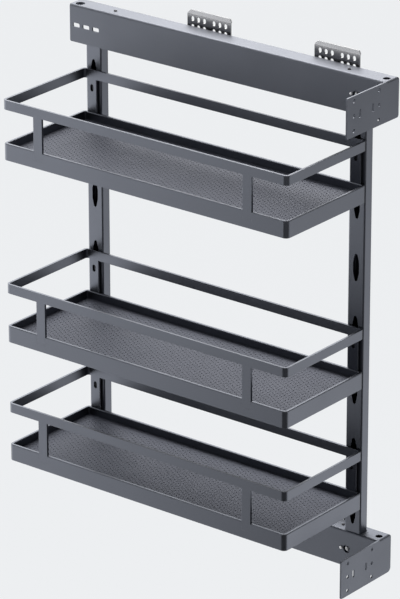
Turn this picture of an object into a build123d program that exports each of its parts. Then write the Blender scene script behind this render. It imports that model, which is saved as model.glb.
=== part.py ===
# Pull-out side basket for a narrow kitchen base cabinet: three sheet-metal baskets
# hang on two slotted uprights, and the frame of uprights and housings runs out of
# the cabinet on two ball-bearing slides that are fixed to one side wall.
#
# Millimetres. +X is the way the baskets pull out, towards the door. Y=0 is the
# cabinet's side wall and the object lies on its -Y side. +Z is up. The origin is
# half way between the upper wall fixing slots of the top and bottom front brackets.

from build123d import *
import os

os.makedirs("parts", exist_ok=True)

# Driving dimensions: cabinet fixings
fixing_span = 613.5         # upper slot row of the top brackets to that of the bottom ones
wall_standoff = 3.0         # bent-back lips hold the bracket plate off the wall
bracket_sheet = 1.5
bracket_margin = 8.4        # outer slot column to the bracket's end
bracket_end_room = 250.0    # slide length outside the pitch of rear and front bracket
bracket_lip = 5.5           # height of a bent-back lip
bracket_bend_r = 1.0
bracket_lip_chamfer = 3.5
fixing_slot_width = 5.0
fixing_slot_length = 6.5
fixing_column_pitch = 9.3
fixing_group_gap = 15.3     # between the two groups of three slot columns
fixing_row_pitch = 10.5
fixing_edge = 5.0           # upper slot row to the upper bend
wall_rivet_r = 2.4
wall_rivet_pitch = 50.0

# Driving dimensions: ball-bearing slides
slide_length = 450.0
slide_height = 45.0
slide_thickness = 12.7
slide_drop = 33.5           # upper slot row down to the slide's centre line
slide_front_x = 64.3        # front slot column to the slide's front end
outer_sheet = 1.3
member_sheet = 1.2
ball_r = 1.6
ball_fit = 0.05             # running clearance of a ball in its groove
flange_gap = 2.6            # between two nested flanges, where the balls stand
web_gap = 0.3               # between a cage web and the members beside it
cage_sheet = 0.6
cage_length = 195.0
cage_rear = 120.0           # rear end of the slide to the rear end of a cage
pocket_fit = 0.1
balls_per_row = 4
ball_pitch = 48.0
outer_ball_inset = 6.5      # cabinet member's back to the outer balls
inner_ball_inset = 4.9      # drawer member's front to the inner balls
flange_overhang = 3.0       # flange length past the centre of its outermost balls
bumper_length = 8.0
bumper_fit = 0.3
bumper_pip_r = 2.5
web_hole_length = 16.0      # openings punched in the cabinet member's web
web_hole_width = 8.0

# Driving dimensions: pull-out frame
upright_width = 25.0
upright_depth = 15.0
upright_wall = 1.2
upright_corner_r = 2.0
upright_inset = 15.0        # basket's end to the upright's centre
front_upright_x = 27.3      # front slot column to the front upright's centre
upright_foot_gap = 5.5      # bottom housing's lower edge up to the uprights' feet
upright_overlap = 10.0      # rear upright's height behind the top housing's web
upright_top_gap = 0.3
housing_sheet = 2.0
housing_height = 50.0
housing_depth = 25.0
housing_overhang = 44.2     # rear end of the slide to the housing's rear end
housing_bend_r = 3.0
slide_headroom = 1.0
door_gap = 3.0              # slide's front end to the door plate
door_plate_height = 52.0
door_plate_width = 106.0
door_plate_wall_gap = 6.5
door_plate_corner_r = {"top": 3.0, "bottom": 6.0}    # lower corner on the wall side
door_plate_slit = 1.0       # between the web's front end and the door plate
door_hole_r = 2.5
door_row_pitch = 19.0
door_column_pitch = 51.2
door_column_inset = 40.8    # door plate's wall-side edge to its nearer hole column
door_slot_inset = 12.5      # hole column to the slot beside it
door_slot_width = 3.8
door_slot_length = 11.0
window_length = 11.0
window_width = 5.5
window_corner_r = 1.8
window_pitch = 16.0
window_inset = 10.5         # housing's rear end to the first window's centre
window_drop = 1.5
notch_fit = 0.3
access_hole_r = 5.4
end_hole_r = 6.0
end_hole_inset = 10.5
end_hole_depth = 8.8        # web's face to the rear hole in the flange
end_hole_collar = 2.0       # depth and thickness of the rim drawn down round that hole
end_hole_collar_sheet = 1.0
door_end_hole_r = 4.6
door_end_hole_inset = 7.7
hanger_sheet = 2.0
hanger_length = 30.0
hanger_height = 40.0
hanger_bend_r = 3.0
screw_r = 2.0
screw_head_r = 3.2
screw_head_height = 1.5
small_screw_r = 1.25
small_head_r = 2.2
small_head_height = 1.4
screw_fit = 0.05
screw_reach = 1.0           # screw length past the last sheet
slide_screw_offset = {"top": 2.1, "bottom": 7.3}      # front upright's centre back to the screw
face_screw_offset = {"top": 9.7, "bottom": 15.9}      # the same to the screw in the web's face
flange_screw_reach = {"rear": 16.2, "front": 9.2}     # upright's side to the flange screw
flange_screw_depth = 12.0   # web's face to the flange screws
rivet_r = 2.0
rivet_head_r = 3.2
rivet_head_height = 1.0
rivet_spacing = 16.0

# Driving dimensions: baskets
basket_depth = 161.0
basket_gap = 1.0            # between a basket's rear face and the uprights
basket_corner_r = 6.0
tray_height = 22.2
tray_floor_depth = 10.5
tray_sheet = 1.2
tray_rim_bevel = 0.8
bar_height = 12.6
bar_thickness = 3.0
rail_height = 58.0          # tray's upper edge to the rail's upper edge
post_width = 14.0
rear_post_inset = 58.0      # basket's rear end to the first near-side post
front_post_inset = 61.0     # basket's front end to the second near-side post
top_tray_drop = 113.5       # top slide's centre line to the top tray's upper edge
basket_slots = {"top": 0, "middle": 3, "bottom": 5}    # counted down from the upper hook slot

# Driving dimensions: hook slots and studs
hook_slots = 7
hook_end_room = 32.5        # fixing span left over by the pitches of the hook slots
hook_height = 37.5          # tray's upper edge to its hook studs
hook_slot_length = 36.0
hook_slot_width = 9.0
hook_slot_swell = 6.0       # slot's centre to the centre of its wide arcs
stud_neck_r = 2.2
stud_fit = 0.15
stud_head_r = 4.0
stud_head_height = 1.5
stud_head_gap = 0.2
stud_collar_r = 5.0
stud_collar_fit = 0.1
stud_tail_fit = 0.05
stud_tail_recess = 1.8
post_slot_length = 9.6
post_slot_width = 5.2
post_slot_height = 33.4     # tray's upper edge to the centre of the post's slot

# Places worked out from the driving dimensions: layers from the wall outwards
bracket_back_y = -wall_standoff
bracket_front_y = bracket_back_y - bracket_sheet
slide_front_y = bracket_front_y - slide_thickness
upright_front_y = slide_front_y - upright_depth
upright_y = upright_front_y + upright_depth / 2
web_outer_y = upright_front_y - housing_sheet
basket_rear_y = upright_front_y - basket_gap
basket_near_y = basket_rear_y - basket_depth

# Lengths that follow the slides, and the pitch of the hook slots
bracket_pitch = slide_length - bracket_end_room
web_hole_pitch = bracket_pitch / 5
basket_length = slide_length
upright_pitch = basket_length - 2 * upright_inset
hook_pitch = (fixing_span - hook_end_room) / hook_slots

# Places along the cabinet and up it
slot_columns = [side * (fixing_group_gap / 2 + step * fixing_column_pitch)
                for side in (-1, 1) for step in (0, 1, 2)]
bracket_width = 2 * (max(slot_columns) + bracket_margin)
bracket_x = {"front": -max(slot_columns), "rear": -max(slot_columns) - bracket_pitch}
fixing_z = {"top": fixing_span / 2, "bottom": -fixing_span / 2}
slide_z = {level: z - slide_drop for level, z in fixing_z.items()}
slide_rear_x = slide_front_x - slide_length
upright_x = {"front": front_upright_x, "rear": front_upright_x - upright_pitch}
housing_top_z = {level: z + slide_height / 2 + slide_headroom + housing_sheet
                 for level, z in slide_z.items()}
housing_rear_x = slide_rear_x - housing_overhang
door_face_x = slide_front_x + door_gap + housing_sheet

# Half heights of the nested slide flanges and of the balls between them
outer_inside = slide_height / 2 - outer_sheet
middle_outside = outer_inside - flange_gap
middle_inside = middle_outside - member_sheet
drawer_outside = middle_inside - flange_gap
outer_ball_z = (outer_inside + middle_outside) / 2
inner_ball_z = (middle_inside + drawer_outside) / 2

# Webs, balls and flange tips of the slide, from the cabinet side outwards
outer_web_y = bracket_front_y - outer_sheet
outer_cage_y = outer_web_y - web_gap
middle_web_y = outer_cage_y - cage_sheet - web_gap
inner_cage_y = middle_web_y - member_sheet - web_gap
drawer_tip_y = inner_cage_y - cage_sheet - web_gap
outer_ball_y = bracket_front_y - outer_ball_inset
inner_ball_y = slide_front_y + inner_ball_inset
outer_tip_y = outer_ball_y - flange_overhang
middle_tip_y = inner_ball_y - flange_overhang
cage_rear_x = slide_rear_x + cage_rear
ball_x = [cage_rear_x + cage_length / 2 + (step - (balls_per_row - 1) / 2) * ball_pitch
          for step in range(balls_per_row)]
member_rear_x = slide_rear_x + bumper_length + bumper_fit
member_length = slide_front_x - member_rear_x

# Places on the baskets
basket_x = (upright_x["front"] + upright_x["rear"]) / 2
basket_y = (basket_rear_y + basket_near_y) / 2
top_tray_z = slide_z["top"] - top_tray_drop
tray_z = {tier: top_tray_z - slot * hook_pitch for tier, slot in basket_slots.items()}
tray_rim_width = bar_thickness + tray_sheet
tray_leg_height = tray_floor_depth + tray_sheet
hook_seat_z = [top_tray_z + hook_height - step * hook_pitch for step in range(hook_slots)]
hook_slot_end_r = stud_neck_r + stud_fit
hook_slot_rise = hook_slot_length / 2 - hook_slot_end_r


def write(piece, name):
    """Labels a finished piece and writes it as one STEP file."""
    piece.part.label = name
    export_step(piece.part, f"parts/{name}.step")


def inward(end):
    """The X direction from an upright towards the middle of the baskets."""
    return 1 if end == "rear" else -1


# Places of the fasteners, shared by the holes and by the screws and rivets in them
def wall_rivet_places(level):
    return [(bracket_x[end] + side * wall_rivet_pitch / 2, slide_z[level])
            for end in ("rear", "front") for side in (-1, 1)]


def slide_rivet_places(level, end):
    x = upright_x[end] + inward(end) * (upright_width + hanger_length) / 2
    return [(x, slide_z[level] + side * rivet_spacing / 2) for side in (-1, 1)]


def slide_screw_place(level):
    return (upright_x["front"] - slide_screw_offset[level], slide_z[level])


def face_screw_place(level):
    return (upright_x["front"] - face_screw_offset[level], slide_z[level])


def flange_screw_place(end):
    reach = upright_width / 2 + flange_screw_reach[end]
    return (upright_x[end] + inward(end) * reach, web_outer_y + flange_screw_depth)


# Wall brackets: a slotted plate with both long edges bent back to the wall
def wall_bracket(level, end):
    top_z = fixing_z[level] + fixing_edge + bracket_lip
    foot_z = slide_z[level] - slide_height / 2 - bracket_lip
    with BuildPart() as bracket:
        with BuildSketch(Plane.YZ.offset(bracket_x[end] - bracket_width / 2)):
            with BuildLine():
                FilletPolyline(
                    (0, foot_z),
                    (bracket_back_y, foot_z + bracket_lip),
                    (bracket_back_y, top_z - bracket_lip),
                    (0, top_z),
                    radius=bracket_bend_r,
                )
                offset(amount=bracket_sheet, side=Side.LEFT)
            make_face()
        extrude(amount=bracket_width)
        with BuildSketch(Plane.XZ):
            with Locations((bracket_x[end], (top_z + foot_z) / 2)):
                Rectangle(bracket_width, top_z - foot_z)
            chamfer(vertices(), bracket_lip_chamfer)
        extrude(amount=slide_thickness, mode=Mode.INTERSECT)
        with BuildSketch(Plane.XZ):
            for row in (0, 1):
                row_z = fixing_z[level] - row * fixing_row_pitch
                with Locations([(bracket_x[end] + column, row_z) for column in slot_columns]):
                    SlotOverall(fixing_slot_length, fixing_slot_width, rotation=90)
            with Locations(*wall_rivet_places(level)):
                Circle(wall_rivet_r)
        extrude(amount=slide_thickness, mode=Mode.SUBTRACT)
    return bracket


for level in ("top", "bottom"):
    for end in ("rear", "front"):
        write(wall_bracket(level, end), f"{level}_{end}_wall_bracket")

with BuildPart() as wall_bracket_rivets:
    for level in ("top", "bottom"):
        with BuildSketch(Plane.XZ.offset(-bracket_back_y)):
            with Locations(*wall_rivet_places(level)):
                Circle(wall_rivet_r)
        extrude(amount=bracket_sheet + outer_sheet)
        with BuildSketch(Plane.XZ.offset(-bracket_back_y)):
            with Locations(*wall_rivet_places(level)):
                Circle(rivet_head_r)
        extrude(amount=-rivet_head_height)
write(wall_bracket_rivets, "wall_bracket_rivets")


# Slides: three nested C-profiles with two ball cages between them
def channel(level, half_height, sheet, web_y, tip_y, rear_x, length, grooves=()):
    """A C-profile along X, with its web at web_y, its flanges to tip_y and ball grooves."""
    depth = abs(tip_y - web_y)
    towards_tips = 1 if tip_y > web_y else -1
    with BuildPart() as profile:
        with BuildSketch(Plane.YZ.offset(rear_x)):
            with Locations(((web_y + tip_y) / 2, slide_z[level])):
                Rectangle(depth, 2 * half_height)
            fillet(vertices().sort_by(Axis.X, reverse=towards_tips < 0)[:2], sheet)
            with Locations(((web_y + tip_y) / 2 + towards_tips * sheet, slide_z[level])):
                Rectangle(depth, 2 * (half_height - sheet), mode=Mode.SUBTRACT)
            for groove_y, groove_z in grooves:
                with Locations((groove_y, slide_z[level] + groove_z),
                               (groove_y, slide_z[level] - groove_z)):
                    Circle(ball_r + ball_fit, mode=Mode.SUBTRACT)
        extrude(amount=length)
    return profile


def cabinet_member(level):
    with BuildPart() as member:
        add(channel(level, slide_height / 2, outer_sheet, bracket_front_y, outer_tip_y,
                    slide_rear_x, slide_length, [(outer_ball_y, outer_ball_z)]).part)
        with BuildSketch(Plane.XZ.offset(-bracket_front_y)):
            with Locations(*wall_rivet_places(level)):
                Circle(wall_rivet_r)
            with Locations((slide_rear_x + bumper_length / 2, slide_z[level])):
                Circle(bumper_pip_r)
            middle_x = (bracket_x["rear"] + bracket_x["front"]) / 2
            for step in (-1, 0, 1):
                with Locations((middle_x + step * web_hole_pitch, slide_z[level])):
                    SlotOverall(web_hole_length, web_hole_width)
        extrude(amount=outer_sheet, mode=Mode.SUBTRACT)
    return member


def middle_member(level):
    grooves = [(outer_ball_y, outer_ball_z), (inner_ball_y, inner_ball_z)]
    return channel(level, middle_outside, member_sheet, middle_web_y, middle_tip_y,
                   member_rear_x, member_length, grooves)


def drawer_member(level):
    with BuildPart() as member:
        add(channel(level, drawer_outside, member_sheet, slide_front_y, drawer_tip_y,
                    member_rear_x, member_length, [(inner_ball_y, inner_ball_z)]).part)
        with BuildSketch(Plane.XZ.offset(-slide_front_y)):
            for end in ("rear", "front"):
                with Locations(*slide_rivet_places(level, end)):
                    Circle(rivet_r)
            with Locations(slide_screw_place(level)):
                Circle(screw_r + screw_fit)
        extrude(amount=-member_sheet, mode=Mode.SUBTRACT)
    return member


def ball_cage(level, web_y, tip_y, ball_y, ball_z):
    """A thin U-shaped strip with a round pocket for every ball."""
    with BuildPart() as cage:
        add(channel(level, ball_z + cage_sheet / 2, cage_sheet, web_y, tip_y,
                    cage_rear_x, cage_length).part)
        with BuildSketch(Plane.XY.offset(slide_z[level])):
            with Locations([(x, ball_y) for x in ball_x]):
                Circle(ball_r + pocket_fit)
        extrude(amount=slide_height / 2, both=True, mode=Mode.SUBTRACT)
    return cage


def balls(level, ball_y, ball_z):
    with BuildPart() as rows:
        for side in (-1, 1):
            with Locations([(x, ball_y, slide_z[level] + side * ball_z) for x in ball_x]):
                Sphere(ball_r)
    return rows


def rear_bumper(level):
    """A rubber block in the rear end of the cabinet member, held by a pip in its web."""
    block_depth = outer_web_y - outer_tip_y
    with BuildPart() as bumper:
        with BuildSketch(Plane.YZ.offset(slide_rear_x)):
            with Locations((outer_web_y - block_depth / 2, slide_z[level])):
                RectangleRounded(block_depth, 2 * (outer_inside - bumper_fit), outer_sheet)
        extrude(amount=bumper_length)
        with BuildSketch(Plane.XZ.offset(-bracket_front_y)):
            with Locations((slide_rear_x + bumper_length / 2, slide_z[level])):
                Circle(bumper_pip_r)
        extrude(amount=outer_sheet)
    return bumper


for level in ("top", "bottom"):
    write(cabinet_member(level), f"{level}_cabinet_member")
    write(rear_bumper(level), f"{level}_rear_bumper")
    write(ball_cage(level, outer_cage_y, outer_tip_y, outer_ball_y, outer_ball_z),
          f"{level}_outer_cage")
    write(balls(level, outer_ball_y, outer_ball_z), f"{level}_outer_balls")
    write(middle_member(level), f"{level}_middle_member")
    write(ball_cage(level, inner_cage_y, middle_tip_y, inner_ball_y, inner_ball_z),
          f"{level}_inner_cage")
    write(balls(level, inner_ball_y, inner_ball_z), f"{level}_inner_balls")
    write(drawer_member(level), f"{level}_drawer_member")


# Uprights: closed tubes with hook slots in the face towards the baskets
def hook_slot():
    """A slot that is wide in its middle and narrow at both ends, drawn round its centre."""
    with BuildSketch() as outline:
        with Locations((0, hook_slot_swell), (0, -hook_slot_swell)):
            Circle(hook_slot_width / 2)
        with Locations((0, hook_slot_rise), (0, -hook_slot_rise)):
            Circle(hook_slot_end_r)
        make_hull()
    return outline


def upright(end):
    """The rear upright ends low behind the top housing, and its inner side runs on."""
    foot_z = housing_top_z["bottom"] - housing_height + upright_foot_gap
    top_z = housing_top_z["top"] - housing_bend_r - upright_top_gap
    shoulder_z = housing_top_z["top"] - housing_height + upright_overlap
    with BuildPart() as tube:
        with BuildSketch(Plane.XY.offset(foot_z)):
            with Locations((upright_x[end], upright_y)):
                Rectangle(upright_width, upright_depth)
            fillet(vertices(), upright_corner_r)
            offset(amount=-upright_wall, mode=Mode.SUBTRACT)
        extrude(amount=top_z - foot_z)
        if end == "rear":
            with BuildSketch(Plane.XY.offset(shoulder_z)):
                with Locations((upright_x[end] - inward(end) * upright_wall, upright_y)):
                    Rectangle(upright_width, upright_depth)
            extrude(amount=top_z - shoulder_z, mode=Mode.SUBTRACT)
        with BuildSketch(Plane.XZ.offset(-upright_front_y)):
            with Locations([(upright_x[end], seat + hook_slot_rise) for seat in hook_seat_z]):
                add(hook_slot().sketch)
        extrude(amount=-upright_corner_r, mode=Mode.SUBTRACT)
        if end == "front":
            with BuildSketch(Plane.XZ.offset(-upright_front_y)):
                with Locations(slide_screw_place("top"), slide_screw_place("bottom")):
                    Circle(screw_r + screw_fit)
            extrude(amount=-upright_depth, mode=Mode.SUBTRACT)
            with BuildSketch(Plane.XZ.offset(-upright_front_y)):
                with Locations(face_screw_place("top")):
                    Circle(small_screw_r + screw_fit)
            extrude(amount=-upright_corner_r, mode=Mode.SUBTRACT)
    return tube


for end in ("rear", "front"):
    write(upright(end), f"{end}_upright")


# Housings: a web and a top flange, with the door plate bent down from the flange
def door_hole_places(level):
    wall_side_y = -door_plate_wall_gap - door_column_inset
    return [(wall_side_y - column * door_column_pitch, slide_z[level] + row * door_row_pitch)
            for column in (0, 1) for row in (-1, 0, 1)]


def door_slot_places(level):
    wall_side_y = -door_plate_wall_gap - door_column_inset - door_slot_inset
    slot_pitch = door_column_pitch - 2 * door_slot_inset
    return [(wall_side_y - column * slot_pitch, slide_z[level]) for column in (0, 1)]


def window_places():
    first_x = housing_rear_x + window_inset
    return [(first_x + step * window_pitch, slide_z["top"] - window_drop)
            for step in (0, 1, 2)]


def housing(level):
    top_z = housing_top_z[level]
    foot_z = top_z - housing_height
    flange_y = web_outer_y + housing_depth
    plate_back_x = door_face_x - housing_sheet
    plate_y = -door_plate_wall_gap - door_plate_width / 2
    with BuildPart() as shell:
        with BuildSketch(Plane.YZ.offset(housing_rear_x)):
            with BuildLine():
                FilletPolyline(
                    (web_outer_y, foot_z),
                    (web_outer_y, top_z),
                    (flange_y, top_z),
                    radius=housing_bend_r,
                )
                offset(amount=housing_sheet, side=Side.RIGHT)
            make_face()
        extrude(amount=plate_back_x - housing_rear_x)
        fillet(shell.edges().filter_by(Axis.Y).group_by(Axis.X)[0].sort_by(Axis.Z)[0],
               housing_sheet)
        with BuildSketch(Plane.XZ.offset(-web_outer_y)):
            with Locations((plate_back_x - door_plate_slit / 2, top_z - housing_height / 2)):
                Rectangle(door_plate_slit, housing_height)
        extrude(amount=-housing_bend_r, mode=Mode.SUBTRACT)
        with BuildSketch(Plane.YZ.offset(plate_back_x)):
            with Locations((plate_y, top_z - door_plate_height / 2)):
                Rectangle(door_plate_width, door_plate_height)
            fillet(vertices().group_by(Axis.X)[0], housing_sheet)
            fillet(vertices().group_by(Axis.X)[-1].sort_by(Axis.Y)[0],
                   door_plate_corner_r[level])
            fillet(vertices().group_by(Axis.X)[-1].sort_by(Axis.Y)[-1], 2 * housing_sheet)
            with Locations(*door_hole_places(level)):
                Circle(door_hole_r, mode=Mode.SUBTRACT)
            with Locations(*door_slot_places(level)):
                SlotOverall(door_slot_length, door_slot_width, rotation=90, mode=Mode.SUBTRACT)
        extrude(amount=housing_sheet)
        with BuildSketch(Plane.XZ.offset(-flange_y)):
            with Locations((door_face_x - housing_bend_r / 2, top_z - housing_bend_r / 2)):
                Rectangle(housing_bend_r, housing_bend_r)
            with Locations((door_face_x - housing_bend_r, top_z - housing_bend_r)):
                Circle(housing_bend_r, mode=Mode.SUBTRACT)
        extrude(amount=housing_depth - housing_bend_r, mode=Mode.SUBTRACT)
        end_hole_place = (housing_rear_x + end_hole_inset, web_outer_y + end_hole_depth)
        with BuildSketch(Plane.XY.offset(top_z - housing_sheet / 2)):
            with Locations(end_hole_place):
                Circle(end_hole_r + end_hole_collar_sheet)
        extrude(amount=-housing_sheet / 2 - end_hole_collar)
        with BuildSketch(Plane.XY.offset(top_z)):
            with Locations(end_hole_place):
                Circle(end_hole_r)
        extrude(amount=-housing_sheet - end_hole_collar, mode=Mode.SUBTRACT)
        with BuildSketch(Plane.XY.offset(top_z)):
            with Locations((door_face_x - door_end_hole_inset, flange_y - housing_depth / 2)):
                Circle(door_end_hole_r)
            with Locations(flange_screw_place("rear"), flange_screw_place("front")):
                Circle(small_screw_r + screw_fit)
        extrude(amount=-housing_sheet, mode=Mode.SUBTRACT)
        with BuildSketch(Plane.XZ.offset(-web_outer_y)):
            with Locations(slide_screw_place(level)):
                Circle(access_hole_r)
            with Locations(face_screw_place(level)):
                Circle(small_screw_r + screw_fit)
            if level == "top":
                with Locations(*window_places()):
                    RectangleRounded(window_length, window_width, window_corner_r)
        extrude(amount=-housing_sheet, mode=Mode.SUBTRACT)
        if level == "bottom":
            notch_depth = upright_depth + notch_fit
            with BuildSketch(Plane.XY.offset(top_z)):
                with Locations(*[(x, upright_front_y + notch_depth / 2)
                                 for x in upright_x.values()]):
                    Rectangle(upright_width + 2 * notch_fit, notch_depth)
            extrude(amount=-housing_bend_r, mode=Mode.SUBTRACT)
    return shell


for level in ("top", "bottom"):
    write(housing(level), f"{level}_housing")


# Hangers: bent boxes, welded to the uprights, that join housing and slide behind the web
def hanger(level, end):
    top_z = housing_top_z[level] - housing_sheet
    side_x = upright_x[end] + inward(end) * upright_width / 2
    with BuildPart() as box:
        with BuildSketch(Plane.YZ.offset(side_x)):
            with Locations((upright_y, top_z - hanger_height / 2)):
                Rectangle(upright_depth, hanger_height)
            fillet(vertices().group_by(Axis.Y)[-1], hanger_bend_r)
        extrude(amount=inward(end) * hanger_length)
        open_sides = [box.faces().sort_by(Axis.Z)[0],
                      box.faces().filter_by(Axis.X).sort_by(Axis.X, reverse=end == "rear")[0]]
        offset(amount=-hanger_sheet, openings=open_sides)
        if (level, end) == ("bottom", "front"):
            with BuildSketch(Plane.XZ.offset(-upright_front_y)):
                with Locations(face_screw_place(level)):
                    Circle(small_screw_r + screw_fit)
            extrude(amount=-hanger_sheet, mode=Mode.SUBTRACT)
        with BuildSketch(Plane.XZ.offset(-slide_front_y)):
            with Locations(*slide_rivet_places(level, end)):
                Circle(rivet_r)
        extrude(amount=hanger_sheet, mode=Mode.SUBTRACT)
        with BuildSketch(Plane.XY.offset(top_z)):
            with Locations(flange_screw_place(end)):
                Circle(small_screw_r + screw_fit)
        extrude(amount=-hanger_sheet, mode=Mode.SUBTRACT)
    return box


for level in ("top", "bottom"):
    for end in ("rear", "front"):
        write(hanger(level, end), f"{level}_{end}_hanger")

# Screws and rivets of the pull-out frame
with BuildPart() as flange_screws:
    for level in ("top", "bottom"):
        with BuildSketch(Plane.XY.offset(housing_top_z[level])):
            with Locations(flange_screw_place("rear"), flange_screw_place("front")):
                Circle(small_head_r)
        extrude(amount=small_head_height)
        with BuildSketch(Plane.XY.offset(housing_top_z[level])):
            with Locations(flange_screw_place("rear"), flange_screw_place("front")):
                Circle(small_screw_r)
        extrude(amount=-housing_sheet - hanger_sheet - screw_reach)
write(flange_screws, "flange_screws")

with BuildPart() as face_screws:
    for level in ("top", "bottom"):
        with BuildSketch(Plane.XZ.offset(-web_outer_y)):
            with Locations(face_screw_place(level)):
                Circle(small_head_r)
        extrude(amount=small_head_height)
        with BuildSketch(Plane.XZ.offset(-web_outer_y)):
            with Locations(face_screw_place(level)):
                Circle(small_screw_r)
        extrude(amount=-housing_sheet - hanger_sheet - screw_reach)
write(face_screws, "face_screws")

with BuildPart() as slide_screws:
    for level in ("top", "bottom"):
        with BuildSketch(Plane.XZ.offset(-upright_front_y)):
            with Locations(slide_screw_place(level)):
                Circle(screw_head_r)
        extrude(amount=screw_head_height)
        with BuildSketch(Plane.XZ.offset(-upright_front_y)):
            with Locations(slide_screw_place(level)):
                Circle(screw_r)
        extrude(amount=-upright_depth - member_sheet - screw_reach)
write(slide_screws, "slide_screws")

with BuildPart() as slide_rivets:
    for level in ("top", "bottom"):
        for end in ("rear", "front"):
            with BuildSketch(Plane.XZ.offset(-slide_front_y + hanger_sheet)):
                with Locations(*slide_rivet_places(level, end)):
                    Circle(rivet_head_r)
            extrude(amount=rivet_head_height)
            with BuildSketch(Plane.XZ.offset(-slide_front_y + hanger_sheet)):
                with Locations(*slide_rivet_places(level, end)):
                    Circle(rivet_r)
            extrude(amount=-hanger_sheet - member_sheet)
write(slide_rivets, "slide_rivets")


# Baskets: a folded tray frame with its floor, and a guard rail on four posts
def outline(inset, mode=Mode.ADD):
    """Draws the basket's outline, drawn in by an inset, into the open sketch."""
    with Locations((basket_x, basket_y)):
        RectangleRounded(basket_length - 2 * inset, basket_depth - 2 * inset,
                         basket_corner_r - inset, mode=mode)


def post_places():
    """Two posts on the side away from the wall, and one in front of each upright."""
    near_y = basket_near_y + bar_thickness / 2
    rear_y = basket_rear_y - bar_thickness / 2
    near_x = (basket_x - basket_length / 2 + rear_post_inset,
              basket_x + basket_length / 2 - front_post_inset)
    return [(x, near_y) for x in near_x] + [(x, rear_y) for x in upright_x.values()]


def tray_frame(tier):
    """A sheet folded to an upside-down U all round, notched where the posts stand."""
    with BuildPart() as frame:
        with BuildSketch(Plane.XY.offset(tray_z[tier])):
            outline(0)
            outline(tray_sheet, Mode.SUBTRACT)
        extrude(amount=-tray_height)
        with BuildSketch(Plane.XY.offset(tray_z[tier])):
            outline(0)
            outline(tray_rim_width, Mode.SUBTRACT)
        extrude(amount=-tray_sheet)
        with BuildSketch(Plane.XY.offset(tray_z[tier])):
            outline(bar_thickness)
            outline(tray_rim_width, Mode.SUBTRACT)
        extrude(amount=-tray_leg_height)
        chamfer(frame.faces().sort_by(Axis.Z)[-1].edges(), tray_rim_bevel)
        with BuildSketch(Plane.XY.offset(tray_z[tier])):
            with Locations(*post_places()):
                Rectangle(post_width, bar_thickness)
        extrude(amount=-tray_leg_height, mode=Mode.SUBTRACT)
    return frame


def tray_floor(tier):
    with BuildPart() as floor:
        with BuildSketch(Plane.XY.offset(tray_z[tier] - tray_floor_depth)):
            outline(tray_rim_width)
        extrude(amount=-tray_sheet)
    return floor


def guard_rail(tier):
    with BuildPart() as rail:
        with BuildSketch(Plane.XY.offset(tray_z[tier] + rail_height)):
            outline(0)
            outline(bar_thickness, Mode.SUBTRACT)
        extrude(amount=-bar_height)
        with BuildSketch(Plane.XY.offset(tray_z[tier] - tray_leg_height)):
            with Locations(*post_places()):
                Rectangle(post_width, bar_thickness)
        extrude(amount=tray_leg_height + rail_height - bar_height / 2)
        with BuildSketch(Plane.XZ.offset(-basket_rear_y)):
            with Locations(*[(x, tray_z[tier] + post_slot_height) for x in upright_x.values()]):
                SlotOverall(post_slot_length, post_slot_width, rotation=90)
        extrude(amount=bar_thickness, mode=Mode.SUBTRACT)
    return rail


def hook_studs(tier):
    """Keyed in the slot of a rear post, with a neck and head that hang in a hook slot."""
    neck_length = basket_gap + upright_wall + stud_head_gap
    studs_at = [(x, tray_z[tier] + hook_height) for x in upright_x.values()]
    tails_at = [(x, tray_z[tier] + post_slot_height) for x in upright_x.values()]
    with BuildPart() as studs:
        with BuildSketch(Plane.XZ.offset(-basket_rear_y)):
            with Locations(*tails_at):
                SlotOverall(post_slot_length - 2 * stud_tail_fit,
                            post_slot_width - 2 * stud_tail_fit, rotation=90)
        extrude(amount=bar_thickness - stud_tail_recess)
        with BuildSketch(Plane.XZ.offset(-basket_rear_y)):
            with Locations(*studs_at):
                Circle(stud_collar_r)
        extrude(amount=-basket_gap + stud_collar_fit)
        with BuildSketch(Plane.XZ.offset(-basket_rear_y)):
            with Locations(*studs_at):
                Circle(stud_neck_r)
        extrude(amount=-neck_length)
        with BuildSketch(Plane.XZ.offset(-basket_rear_y - neck_length)):
            with Locations(*studs_at):
                Circle(stud_head_r)
        extrude(amount=-stud_head_height)
    return studs


for tier in tray_z:
    write(tray_frame(tier), f"{tier}_tray_frame")
    write(tray_floor(tier), f"{tier}_tray_floor")
    write(guard_rail(tier), f"{tier}_guard_rail")
    write(hook_studs(tier), f"{tier}_hook_studs")
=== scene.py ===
# %% [markdown]
# # A pull-out side basket for a narrow kitchen cabinet
#
# Three folded sheet-metal baskets hang on two slotted uprights, and the whole
# frame runs out of the cabinet on ball-bearing slides. The solids come from the
# CAD model, so this lesson is about what a solid does not say: the perforated
# floors, the drive recesses of the screws, and the finishes. Everything is in
# metres, and +X is the way the baskets pull out.

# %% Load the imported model
import math

import bmesh
import bpy
from mathutils import Matrix, Vector


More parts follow.
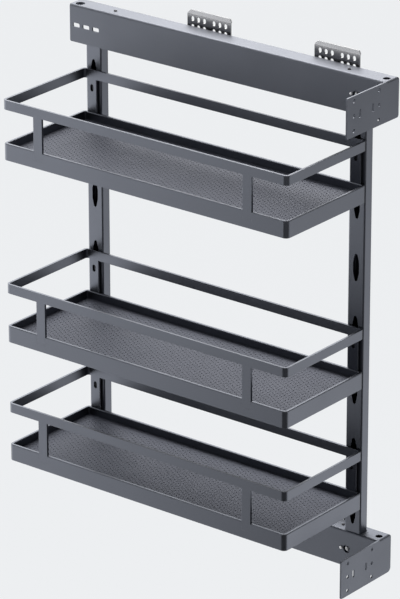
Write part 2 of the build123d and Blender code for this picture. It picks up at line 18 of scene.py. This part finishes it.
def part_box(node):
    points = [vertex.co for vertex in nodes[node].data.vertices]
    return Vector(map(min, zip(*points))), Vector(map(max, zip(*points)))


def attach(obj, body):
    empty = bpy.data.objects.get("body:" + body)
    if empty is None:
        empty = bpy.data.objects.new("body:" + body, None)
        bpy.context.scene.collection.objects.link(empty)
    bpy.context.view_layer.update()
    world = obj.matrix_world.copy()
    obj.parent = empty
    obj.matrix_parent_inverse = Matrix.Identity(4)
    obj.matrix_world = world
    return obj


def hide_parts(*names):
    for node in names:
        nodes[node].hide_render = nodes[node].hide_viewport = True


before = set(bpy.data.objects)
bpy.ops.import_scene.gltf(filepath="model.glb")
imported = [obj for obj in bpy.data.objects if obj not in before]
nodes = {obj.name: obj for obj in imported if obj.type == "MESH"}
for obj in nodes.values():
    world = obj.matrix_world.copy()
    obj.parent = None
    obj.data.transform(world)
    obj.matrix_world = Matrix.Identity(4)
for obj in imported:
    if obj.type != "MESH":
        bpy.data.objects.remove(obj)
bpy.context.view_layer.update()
print("solids loaded:", len(nodes))

# %% [markdown]
# ## Arithmetic on sockets
#
# A finish is a tree of shader nodes. Small sums such as `grain * 0.2 + 0.4` need
# a Math node for every sign, which is tedious to write node by node. A class
# that wraps a socket and overloads the arithmetic signs lets Python build those
# nodes. Every other node comes from one method that takes its type, settings
# and sockets.

# %% Sockets that take part in sums
class Wire:
    """A node's output socket that can be used in Python arithmetic."""

    def __init__(self, tree, socket):
        self.tree, self.socket = tree, socket

    def sum_node(self, operation, first, second):
        return self.tree.node("ShaderNodeMath", {"operation": operation},
                              {0: first, 1: second})

    def __add__(self, other):
        return self.sum_node("ADD", self, other)

    def __radd__(self, other):
        return self.sum_node("ADD", other, self)

    def __sub__(self, other):
        return self.sum_node("SUBTRACT", self, other)

    def __rsub__(self, other):
        return self.sum_node("SUBTRACT", other, self)

    def __mul__(self, other):
        return self.sum_node("MULTIPLY", self, other)

    def __rmul__(self, other):
        return self.sum_node("MULTIPLY", other, self)


# %% One method for any node
class Tree:
    """A node tree that is filled one node at a time."""

    def __init__(self, node_tree):
        self.nodes, self.links = node_tree.nodes, node_tree.links
        self.nodes.clear()

    def node(self, kind, settings=None, sockets=None, out=0):
        """Adds a node: its settings first, then the values or links of its sockets."""
        made = self.nodes.new(kind)
        for name, value in (settings or {}).items():
            setattr(made, name, value)
        for name, value in (sockets or {}).items():
            if isinstance(value, Wire):
                self.links.new(value.socket, made.inputs[name])
            else:
                made.inputs[name].default_value = value
        return Wire(self, made.outputs[out]) if made.outputs else made

    def smooth(self, value, low, high, to_low=0.0, to_high=1.0):
        """Turns a value smoothly from to_low, at low, into to_high, at high."""
        return self.node("ShaderNodeMapRange", {"interpolation_type": "SMOOTHSTEP"},
                         {"Value": value, "From Min": low, "From Max": high,
                          "To Min": to_low, "To Max": to_high})

    def blend(self, factor, first, second):
        """Mixes two colours."""
        return self.node("ShaderNodeMix", {"data_type": "RGBA"},
                         {0: factor, 6: first, 7: second}, out=2)


# %% [markdown]
# ## The anthracite powder coat
#
# Frame and baskets have one dark blue-grey coat with a fine metallic flake. Its
# faces are light only where they mirror something light. A plain dark paint, with
# a grey diffuse colour, would be quicker to set up but looks flat. A high metallic
# value over a dark colour gives those mirrored lights and darks. A noise far finer
# than the sheet makes the orange-peel grain, a second, slow one varies the gloss a
# little, and a Bevel node rounds the light on every edge without more faces.
#
# The housings have a version of the coat of their own: a lighter copy, so that light is
# painted into their colour, and duller. The perforated floors have one too: a darker copy,
# so that shade is painted into their colour, and duller still.

# %% Finish helper
SLOW_NOISE, SLOW_DETAIL = 18.0, 3.0      # per metre, and its layers
FINE_NOISE, FINE_DETAIL = 900.0, 2.0
GLOSS_DRIFT, GLOSS_GRAIN = 0.10, 0.06    # how much each noise changes the roughness
GRAIN_DEPTH = 0.0001


def finish_material(name, colour, metallic, roughness, grain=0.0, mottle=0.0, edge=0.0003):
    """A procedural finish: slightly uneven gloss, fine grain and softened edges."""
    material = bpy.data.materials.new(name)
    material.use_nodes = True
    tree = Tree(material.node_tree)
    place = tree.node("ShaderNodeTexCoord", out=3)
    slow = tree.node("ShaderNodeTexNoise", None,
                     {"Vector": place, "Scale": SLOW_NOISE, "Detail": SLOW_DETAIL})
    fine = tree.node("ShaderNodeTexNoise", None,
                     {"Vector": place, "Scale": FINE_NOISE, "Detail": FINE_DETAIL})
    dark = tuple(c * (1 - mottle) for c in colour) + (1.0,)
    light = tuple(min(1.0, c * (1 + mottle)) for c in colour) + (1.0,)
    base = tree.blend(fine, dark, light)
    gloss = (slow - 0.5) * GLOSS_DRIFT + (fine - 0.5) * GLOSS_GRAIN + roughness
    soft_edge = tree.node("ShaderNodeBevel", {"samples": 4}, {"Radius": edge})
    bump = tree.node("ShaderNodeBump", None,
                     {"Strength": grain, "Distance": GRAIN_DEPTH, "Height": fine,
                      "Normal": soft_edge})
    coat = tree.node("ShaderNodeBsdfPrincipled", None,
                     {"Base Color": base, "Metallic": metallic, "Roughness": gloss,
                      "Normal": bump})
    tree.node("ShaderNodeOutputMaterial", None, {"Surface": coat})
    return material


# %% The three coats
anthracite = finish_material("anthracite powder coat", (0.125, 0.134, 0.158), 1.0, 0.36,
                             grain=0.25, mottle=0.06, edge=0.0006)
# A lighter copy of the same coat: light painted into the housings' colour, and a duller
# gloss.
housing_coat_painted_lighter = finish_material("anthracite coat on the housings", (0.146, 0.157, 0.185),
                               0.9, 0.52, grain=0.25, mottle=0.06)
# A darker copy of the same coat: shade painted into the floors' colour, and a duller gloss.
perforated = finish_material("anthracite coat on perforated sheet", (0.074, 0.081, 0.106),
                             0.6, 0.60, grain=0.25, mottle=0.08, edge=0.00005)
for coat in (anthracite, housing_coat_painted_lighter, perforated):
    print("coat made:", coat.name)

# %% [markdown]
# ## The metals and the rubber
#
# Brackets and slide members are zinc-plated strip, the balls are polished steel
# and the rear stops are rubber. Each could have a tree of its own, but they differ
# from the coat only in values, so they use the same helper.

# %% Metals and rubber
zinc = finish_material("zinc-plated strip", (0.33, 0.335, 0.35), 0.95, 0.24,
                       grain=0.15, mottle=0.10)
polished = finish_material("polished steel", (0.72, 0.72, 0.74), 1.0, 0.12)
screw_zinc = finish_material("bright zinc", (0.82, 0.82, 0.84), 0.7, 0.30)
# Dark steel for the flange screws. On the hook studs the same dark colour is painted shade:
# it stands for the dark slot seen through the post.
dark_steel_and_slot_shade = finish_material("dark-plated steel", (0.022, 0.023, 0.028), 0.8, 0.40,
                              mottle=0.05)
rubber = finish_material("black rubber", (0.02, 0.02, 0.02), 0.0, 0.75,
                         grain=0.5, mottle=0.2)
for metal in (zinc, polished, screw_zinc, dark_steel_and_slot_shade, rubber):
    print("finish made:", metal.name)

# %% Which finish each solid gets
FINISHES = (
    ("_wall_bracket", zinc), ("_rivets", zinc), ("_member", zinc), ("_cage", zinc),
    ("_balls", polished), ("face_screws", screw_zinc), ("slide_screws", zinc),
    ("_housing", housing_coat_painted_lighter), ("_bumper", rubber), ("flange_screws", dark_steel_and_slot_shade),
    # The hook studs' dark colour is painted shade of the slot behind them.
    ("_hook_studs", dark_steel_and_slot_shade),
)


def finish_of(name):
    """The finish of a solid, by a word in its name. The rest is anthracite."""
    for word, material in FINISHES:
        if word in name:
            return material
    return anthracite


for name, solid in nodes.items():
    solid.data.materials.clear()
    solid.data.materials.append(finish_of(name))
print("solids finished:", len(nodes))

# %% [markdown]
# ## The perforated floors
#
# The sunk floor of each tray is punched with staggered round holes. A texture
# could fake them, but light falls through real holes and their walls catch it.
# The sheet is a wall of bricks seen from above: each brick holds one hole, and
# every second column is shifted by half a brick, so that the corners of one
# column meet the middles of the next. A plain margin joins the bricks to the
# floor's rim, and the sheet gets its thickness at the end.

# %% A brick with a hole in it
HOLE_PITCH = 0.0062
HOLE_RADIUS = 0.00095
FLOOR_SHEET = 0.00095
FLOOR_MARGIN = 0.0075
FLOOR_CORNER = 0.0018
COLUMN_PITCH = HOLE_PITCH * math.sqrt(3) / 2
BRICK = [(0.5, 0), (0.5, 0.5), (-0.5, 0.5), (-0.5, 0), (-0.5, -0.5), (0.5, -0.5)]
SAME_POINT = 1e-6


def add_brick(mesh, x, y, z):
    """One brick of the sheet, as a ring of faces round its hole."""
    outer = [mesh.verts.new((x + u * COLUMN_PITCH, y + v * HOLE_PITCH, z)) for u, v in BRICK]
    inner = []
    for step in range(len(BRICK)):
        angle = math.tau * step / len(BRICK)
        inner.append(mesh.verts.new((x + HOLE_RADIUS * math.cos(angle),
                                     y + HOLE_RADIUS * math.sin(angle), z)))
    for a in range(len(BRICK)):
        b = (a + 1) % len(BRICK)
        mesh.faces.new((outer[a], outer[b], inner[b], inner[a]))


# %% The field of bricks
def add_field(mesh, low, high, z):
    """Fills a rectangle with bricks and half bricks. Returns the number of holes."""
    columns = int((high.x - low.x) / COLUMN_PITCH)
    rows = int((high.y - low.y) / HOLE_PITCH - 0.5)
    left = (low.x + high.x - columns * COLUMN_PITCH) / 2
    foot = (low.y + high.y - (rows + 0.5) * HOLE_PITCH) / 2
    for column in range(columns):
        x = left + (column + 0.5) * COLUMN_PITCH
        shift = 0.5 * (column % 2)
        for row in range(rows):
            add_brick(mesh, x, foot + (row + 0.5 + shift) * HOLE_PITCH, z)
        plain = 0.0 if shift else rows
        y0, y1 = foot + plain * HOLE_PITCH, foot + (plain + 0.5) * HOLE_PITCH
        xa, xb = x - COLUMN_PITCH / 2, x + COLUMN_PITCH / 2
        mesh.faces.new([mesh.verts.new(p) for p in
                        ((xa, y0, z), (xb, y0, z), (xb, y1, z), (xa, y1, z))])
    bmesh.ops.remove_doubles(mesh, verts=mesh.verts, dist=SAME_POINT)
    return columns * rows


# %% The loop round the field
def outer_loop(mesh):
    """The boundary edges that run round all the bricks, not those of the holes."""
    start = min((e for e in mesh.edges if e.is_boundary),
                key=lambda e: min(v.co.x for v in e.verts))
    loop, seen, queue = [], {start}, [start]
    while queue:
        edge = queue.pop()
        loop.append(edge)
        for vert in edge.verts:
            for other in vert.link_edges:
                if other.is_boundary and other not in seen:
                    seen.add(other)
                    queue.append(other)
    return loop


# %% The floor's rim
def rounded_outline(low, high, radius, steps=3):
    """Points of a rectangle with rounded corners, anticlockwise."""
    points = []
    middle = (low + high) / 2
    corners = ((high.x, high.y), (low.x, high.y), (low.x, low.y), (high.x, low.y))
    for quarter, (x, y) in enumerate(corners):
        centre = Vector((x - math.copysign(radius, x - middle.x),
                         y - math.copysign(radius, y - middle.y)))
        for step in range(steps + 1):
            angle = math.pi / 2 * (quarter + step / steps)
            points.append(centre + radius * Vector((math.cos(angle), math.sin(angle))))
    return points


# %% A whole floor
def floor_mesh(name, low, high):
    """The sheet between two corners, with its holes. Returns mesh data and hole count."""
    mesh = bmesh.new()
    margin = Vector((FLOOR_MARGIN, FLOOR_MARGIN, 0))
    holes = add_field(mesh, low + margin, high - margin, high.z)
    field_edges = outer_loop(mesh)
    rim = [mesh.verts.new((p.x, p.y, high.z))
           for p in rounded_outline(low, high, FLOOR_CORNER)]
    rim_edges = [mesh.edges.new((rim[i - 1], rim[i])) for i in range(len(rim))]
    bmesh.ops.triangle_fill(mesh, use_beauty=True, edges=field_edges + rim_edges,
                            normal=(0, 0, 1))
    bmesh.ops.recalc_face_normals(mesh, faces=mesh.faces)
    if sum(f.normal.z for f in mesh.faces) < 0:
        bmesh.ops.reverse_faces(mesh, faces=mesh.faces)
    bmesh.ops.solidify(mesh, geom=mesh.faces[:], thickness=FLOOR_SHEET)
    bmesh.ops.recalc_face_normals(mesh, faces=mesh.faces)
    data = bpy.data.meshes.new(name)
    mesh.to_mesh(data)
    mesh.free()
    return data, holes


def perforated_floor(tier):
    """Replaces the plain floor of one tray."""
    node = f"{tier}_tray_floor"
    low, high = (Vector(corner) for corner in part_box(node))
    data, holes = floor_mesh(f"{tier}_perforated_floor", low, high)
    floor = bpy.data.objects.new(f"{tier}_perforated_floor", data)
    bpy.context.scene.collection.objects.link(floor)
    data.materials.append(perforated)
    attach(floor, f"{tier}_basket")
    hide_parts(node)
    print(floor.name, "holes:", holes, "faces:", len(data.polygons))


for tier in ("top", "middle", "bottom"):
    perforated_floor(tier)

# %% [markdown]
# ## Screw heads
#
# A screw in the solid model is a plain cylinder on a thinner one. The real heads
# are pan heads with a cross recess. The recess could be a dark decal, but the
# light in it tells that it is cut. So each head is turned as a profile, and the
# recess is cut with two crossed wedges.

# %% Turn a profile
def turned(mesh, profile, turns=32):
    """Turns a list of (radius, height) points about Z into a closed skin."""
    rings = []
    for radius, height in profile:
        if radius == 0:
            rings.append([mesh.verts.new((0, 0, height))])
            continue
        rings.append([mesh.verts.new((radius * math.cos(math.tau * i / turns),
                                      radius * math.sin(math.tau * i / turns), height))
                      for i in range(turns)])
    for lower, upper in zip(rings, rings[1:]):
        for i in range(turns):
            a, b = lower[i % len(lower)], lower[(i + 1) % len(lower)]
            c, d = upper[(i + 1) % len(upper)], upper[i % len(upper)]
            # At a tip two of the four corners are one point, which is used once.
            mesh.faces.new([v for n, v in enumerate((a, b, c, d))
                            if v not in (a, b, c, d)[:n]])


# %% The cross recess
RECESS_TAPER = 0.45     # reach at the recess's foot, as a share of that at its mouth
RECESS_FACES = ((0, 1, 2, 3), (7, 6, 5, 4), (0, 4, 5, 1), (1, 5, 6, 2), (2, 6, 7, 3),
                (3, 7, 4, 0))


def recess_cutter(width, reach, depth, top):
    """Two crossed wedges, wide above and narrow below, that cut a cross recess."""
    mesh = bmesh.new()
    for along in (0, 1):
        corners = []
        for height, shrink in ((top, 1.0), (top - depth, RECESS_TAPER)):
            for u, v in ((-1, -1), (1, -1), (1, 1), (-1, 1)):
                x, y = u * reach * shrink, v * width / 2
                corners.append(mesh.verts.new((y, x, height) if along else (x, y, height)))
        for face in RECESS_FACES:
            mesh.faces.new([corners[i] for i in face])
    bmesh.ops.recalc_face_normals(mesh, faces=mesh.faces)
    data = bpy.data.meshes.new("recess cutter")
    mesh.to_mesh(data)
    mesh.free()
    return bpy.data.objects.new("recess cutter", data)


# %% A pan-head screw
SHANK_POINT = 0.0006     # length of the bevel at the shank's end
CUTTER_RISE = 0.0002     # how far the cutter stands out of the head
RECESS_WIDTH, RECESS_REACH, RECESS_DEPTH = 0.30, 0.62, 0.75    # shares of the head


def screw_mesh(head_radius, head_height, shank_radius, length):
    """A pan head on a plain shank, with its bearing face at height 0."""
    mesh = bmesh.new()
    turned(mesh, [(0, -length), (shank_radius * 0.8, -length),
                  (shank_radius, -length + SHANK_POINT), (shank_radius, 0),
                  (head_radius * 0.94, 0), (head_radius, head_height * 0.12),
                  (head_radius * 0.97, head_height * 0.45),
                  (head_radius * 0.82, head_height * 0.82),
                  (head_radius * 0.55, head_height * 0.97), (0, head_height)])
    bmesh.ops.recalc_face_normals(mesh, faces=mesh.faces)
    data = bpy.data.meshes.new("pan head")
    mesh.to_mesh(data)
    mesh.free()
    screw = bpy.data.objects.new("pan head", data)
    cutter = recess_cutter(head_radius * RECESS_WIDTH, head_radius * RECESS_REACH,
                           head_height * RECESS_DEPTH, head_height + CUTTER_RISE)
    for obj in (screw, cutter):
        bpy.context.scene.collection.objects.link(obj)
    cut = screw.modifiers.new("cross recess", "BOOLEAN")
    cut.operation, cut.object, cut.solver = "DIFFERENCE", cutter, "EXACT"
    cut_mesh = bpy.data.meshes.new_from_object(
        screw.evaluated_get(bpy.context.evaluated_depsgraph_get()))
    bpy.data.objects.remove(cutter)
    bpy.data.objects.remove(screw)
    return cut_mesh


# %% Find each screw of a node
def islands(node):
    """The lowest and highest corners of each separate solid in a node."""
    solid = nodes[node]
    parts = bmesh.new()
    parts.from_mesh(solid.data)
    bmesh.ops.remove_doubles(parts, verts=parts.verts, dist=SAME_POINT)
    left, boxes = set(parts.verts), []
    while left:
        queue, found = [left.pop()], []
        while queue:
            vert = queue.pop()
            found.append(solid.matrix_world @ vert.co)
            for edge in vert.link_edges:
                other = edge.other_vert(vert)
                if other in left:
                    left.remove(other)
                    queue.append(other)
        boxes.append((Vector([min(p[i] for p in found) for i in range(3)]),
                      Vector([max(p[i] for p in found) for i in range(3)])))
    parts.free()
    return boxes


# %% Put the screws where the solids have them
def place_screws(node, axis, head_height, shank_radius, material, slot_name):
    """Replaces a node of screws by pan heads that point along an axis."""
    index = max(range(3), key=lambda i: abs(axis[i]))
    outward = Vector(axis)
    turn = Vector((0, 0, 1)).rotation_difference(outward).to_matrix().to_4x4()
    group = bmesh.new()
    boxes = islands(node)
    for low, high in boxes:
        head_radius = (high[(index + 1) % 3] - low[(index + 1) % 3]) / 2
        length = high[index] - low[index] - head_height
        seat = (low + high) / 2
        seat[index] = (high if outward[index] > 0 else low)[index]
        seat -= outward * head_height
        one = screw_mesh(head_radius, head_height, shank_radius, length)
        one.transform(Matrix.Translation(seat) @ turn)
        group.from_mesh(one)
        bpy.data.meshes.remove(one)
    data = bpy.data.meshes.new(f"{node}_with_recess")
    group.to_mesh(data)
    group.free()
    screws = bpy.data.objects.new(data.name, data)
    bpy.context.scene.collection.objects.link(screws)
    data.materials.append(material)
    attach(screws, "carriage")
    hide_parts(node)
    print(screws.name, "made:", len(boxes))


# Node, the way its heads point, head height, shank radius, finish and slot.
SCREWS = (
    ("face_screws", (0, -1, 0), 0.0014, 0.00125, screw_zinc, "bright_screw"),
    ("slide_screws", (0, -1, 0), 0.0015, 0.0020, zinc, "bright_screw"),
    ("flange_screws", (0, 0, 1), 0.0014, 0.00125, dark_steel_and_slot_shade, "dark_screw"),
)
for row in SCREWS:
    place_screws(*row)

# %% [markdown]
# ## The studio
#
# A metallic coat shows its surroundings, so the studio is part of the finish. A
# photographer sets up white panels and black cloths round such a piece. They could
# be modelled as planes, but then each would have to be kept out of the picture from
# every side. Here the studio is a brightness for each direction instead, told by
# how far the direction points to the front, to the left and up.
#
# A panel on the left and one on the right light the long and the short faces. Both
# end in front, where it is dark low down, and that dark part makes the rounded
# corners nearly black. High up behind there is a broad light for the upward faces,
# and low down behind it is dimmer, so that the zinc slides aren't burnt out. A dim
# glow in front, higher up, keeps the faces readable that are seen from the left. To
# the camera itself, floor and surroundings are one pale grey.

# %% The directions of the studio
BACKGROUND = (0.847, 0.863, 0.880, 1.0)
WHITE = (1.0, 1.0, 1.0, 1.0)
AZIMUTH, ELEVATION, ROLL = (math.radians(angle) for angle in (38.40, 22.12, -0.08))
FRONT = Vector((math.sin(AZIMUTH), -math.cos(AZIMUTH), 0))
LEFT = Vector((-math.cos(AZIMUTH), -math.sin(AZIMUTH), 0))


def toward(tree, direction, way):
    """How far a direction points along a way, from -1 to 1."""
    return tree.node("ShaderNodeVectorMath", {"operation": "DOT_PRODUCT"},
                     {0: direction, 1: way}, out=1)


# %% How bright the studio is in each direction
OVERHEAD_LIGHT, FRONT_GLOW, DARKEST = 1.3, 0.4, 0.04
DIMMED_ABOVE, DIMMED_BEHIND = 0.85, 0.6


def side_panels(tree, frontward, leftward, upward):
    """The left panel, brighter high up, and the right panel, brighter low down."""
    left = tree.smooth(leftward, -0.2, 0.2)
    left_panel = (tree.smooth(frontward, -0.10, 0.53, 1.95, 0.0)
                  * tree.smooth(upward, -0.65, -0.1, 0.7, 1.4))
    right_panel = (tree.smooth(frontward, -0.5, -0.25, 0.6, 1.0)
                   * tree.smooth(frontward, 0.15, 0.62, 0.95, 0.0)
                   * tree.smooth(upward, -0.6, -0.1, 1.6, 0.8))
    return left * left_panel + (1 - left) * right_panel


def studio_light(tree, direction):
    """The brightness of the studio seen in a direction."""
    frontward = toward(tree, direction, FRONT)
    leftward = toward(tree, direction, LEFT)
    upward = tree.node("ShaderNodeSeparateXYZ", None, {0: direction}, out=2)
    panels = side_panels(tree, frontward, leftward, upward)
    above = tree.smooth(upward, -0.1, 0.2) * tree.smooth(frontward, -0.75, -0.3)
    overhead = (tree.smooth(upward, 0.2, 0.65)
                * tree.smooth(frontward, -0.75, -0.15, 1.0, 0.12))
    behind = (tree.smooth(frontward, -0.85, -0.45, 1.0, 0.0)
              * tree.smooth(upward, -0.05, 0.3, 1.0, 0.0))
    ahead = tree.smooth(frontward, 0.55, 0.85) * tree.smooth(upward, -0.40, -0.1)
    return (panels * (1 - above * DIMMED_ABOVE) * (1 - behind * DIMMED_BEHIND)
            + overhead * OVERHEAD_LIGHT + ahead * FRONT_GLOW + DARKEST)


def studio_shader(tree, kind, direction):
    """Pale grey to the camera, and the studio's own light to everything else."""
    felt = tree.node(kind, None, {"Color": WHITE, "Strength": studio_light(tree, direction)})
    seen = tree.node(kind, None, {"Color": BACKGROUND, "Strength": 1.0})
    camera_ray = tree.node("ShaderNodeLightPath", out=0)
    return tree.node("ShaderNodeMixShader", None, {0: camera_ray, 1: felt, 2: seen})


# %% The surroundings
world = bpy.data.worlds.new("studio")
bpy.context.scene.world = world
world.use_nodes = True
sky = Tree(world.node_tree)
sky_direction = sky.node("ShaderNodeTexCoord", out=0)
sky.node("ShaderNodeOutputWorld", None, {
    "Surface": studio_shader(sky, "ShaderNodeBackground", sky_direction)})
print("studio nodes:", len(world.node_tree.nodes))

# %% [markdown]
# ## The studio's floor
#
# The piece hangs freely in the photograph, over a ground that can't be told from
# the backdrop. No floor at all would be simplest, but a floor keeps a breath of
# shadow and stands nearer than the backdrop, so that what low faces mirror shifts a
# little from one to the next. It lies well below the piece. Nearly all of it is the
# studio's own light, and a small share is matt paint, which takes the shadow.

# %% The floor
STUDIO_FLOOR_HEIGHT = -0.95
STUDIO_FLOOR_HALF = 9.0
MATT_SHARE = 0.04
MATT_PAINT = (0.84, 0.85, 0.87, 1.0)

ground = bmesh.new()
bmesh.ops.create_grid(ground, x_segments=1, y_segments=1, size=STUDIO_FLOOR_HALF)
ground_data = bpy.data.meshes.new("studio floor")
ground.to_mesh(ground_data)
ground.free()
studio_floor = bpy.data.objects.new("studio floor", ground_data)
studio_floor.location = (0, 0, STUDIO_FLOOR_HEIGHT)
bpy.context.scene.collection.objects.link(studio_floor)

floor_paint = bpy.data.materials.new("pale studio floor")
floor_paint.use_nodes = True
paint = Tree(floor_paint.node_tree)
floor_place = paint.node("ShaderNodeNewGeometry", out=0)
floor_direction = paint.node("ShaderNodeVectorMath", {"operation": "NORMALIZE"},
                             {0: floor_place})
shine = studio_shader(paint, "ShaderNodeEmission", floor_direction)
matt = paint.node("ShaderNodeBsdfDiffuse", None, {"Color": MATT_PAINT})
paint.node("ShaderNodeOutputMaterial", None, {
    "Surface": paint.node("ShaderNodeMixShader", None, {0: MATT_SHARE, 1: shine, 2: matt})})
ground_data.materials.append(floor_paint)
print("studio floor at", studio_floor.location.z)

# %% [markdown]
# ## Lamps
#
# The studio's brightness alone leaves the upward faces soft and even. Three soft
# lamps give them their highlights: a large one high behind on the left, a weaker
# one from the front left, which the brackets' bent edges catch, and a warm one
# close above the top housing, so that its flange is the brightest face. Spot lamps
# would give hard shadows, which the photograph doesn't have.

# %% Soft lamps
LAMP_AIM = Vector((-0.18, -0.1, 0))     # the middle of the piece


def soft_lamp(name, place, size, power, colour=(1.0, 1.0, 1.0)):
    """A square area lamp that points at the middle of the piece."""
    data = bpy.data.lights.new(name, "AREA")
    data.shape, data.size, data.energy, data.color = "SQUARE", size, power, colour
    lamp = bpy.data.objects.new(name, data)
    lamp.location = place
    aim = LAMP_AIM - Vector(place)
    lamp.rotation_euler = aim.to_track_quat("-Z", "Y").to_euler()
    lamp.visible_camera = False
    bpy.context.scene.collection.objects.link(lamp)
    print(name, "of", power, "W")


soft_lamp("overhead softbox", (-1.6, 1.8, 2.6), 2.4, 12)
soft_lamp("front left softbox", (-2.15, -2.5, 1.75), 0.8, 4)
soft_lamp("near top softbox", (-0.38, 0.35, 0.95), 0.9, 9, (1.0, 0.95, 0.88))

# %% [markdown]
# ## The camera
#
# The photograph was taken from the front right with a long lens, so the upright
# edges stay parallel. A camera could be turned by eye until the picture fits, but
# the straight edges of the frame say more: they gave the direction, the distance
# and the focal length.

# %% Camera
lens = bpy.data.cameras.new("product camera")
lens.sensor_width = 36.0
lens.lens = 244.72
lens.clip_end = 60.0
camera = bpy.data.objects.new("product camera", lens)
look = Vector((-math.sin(AZIMUTH) * math.cos(ELEVATION),
               math.cos(AZIMUTH) * math.cos(ELEVATION), -math.sin(ELEVATION)))
camera.location = (2.7865, -3.8247, 1.9092)
facing = look.to_track_quat("-Z", "Y").to_matrix().to_4x4()
camera.rotation_euler = (facing @ Matrix.Rotation(ROLL, 4, "Z")).to_euler()
bpy.context.scene.collection.objects.link(camera)
bpy.context.scene.camera = camera
bpy.context.scene.view_settings.view_transform = "Standard"
print("camera at", tuple(camera.location))
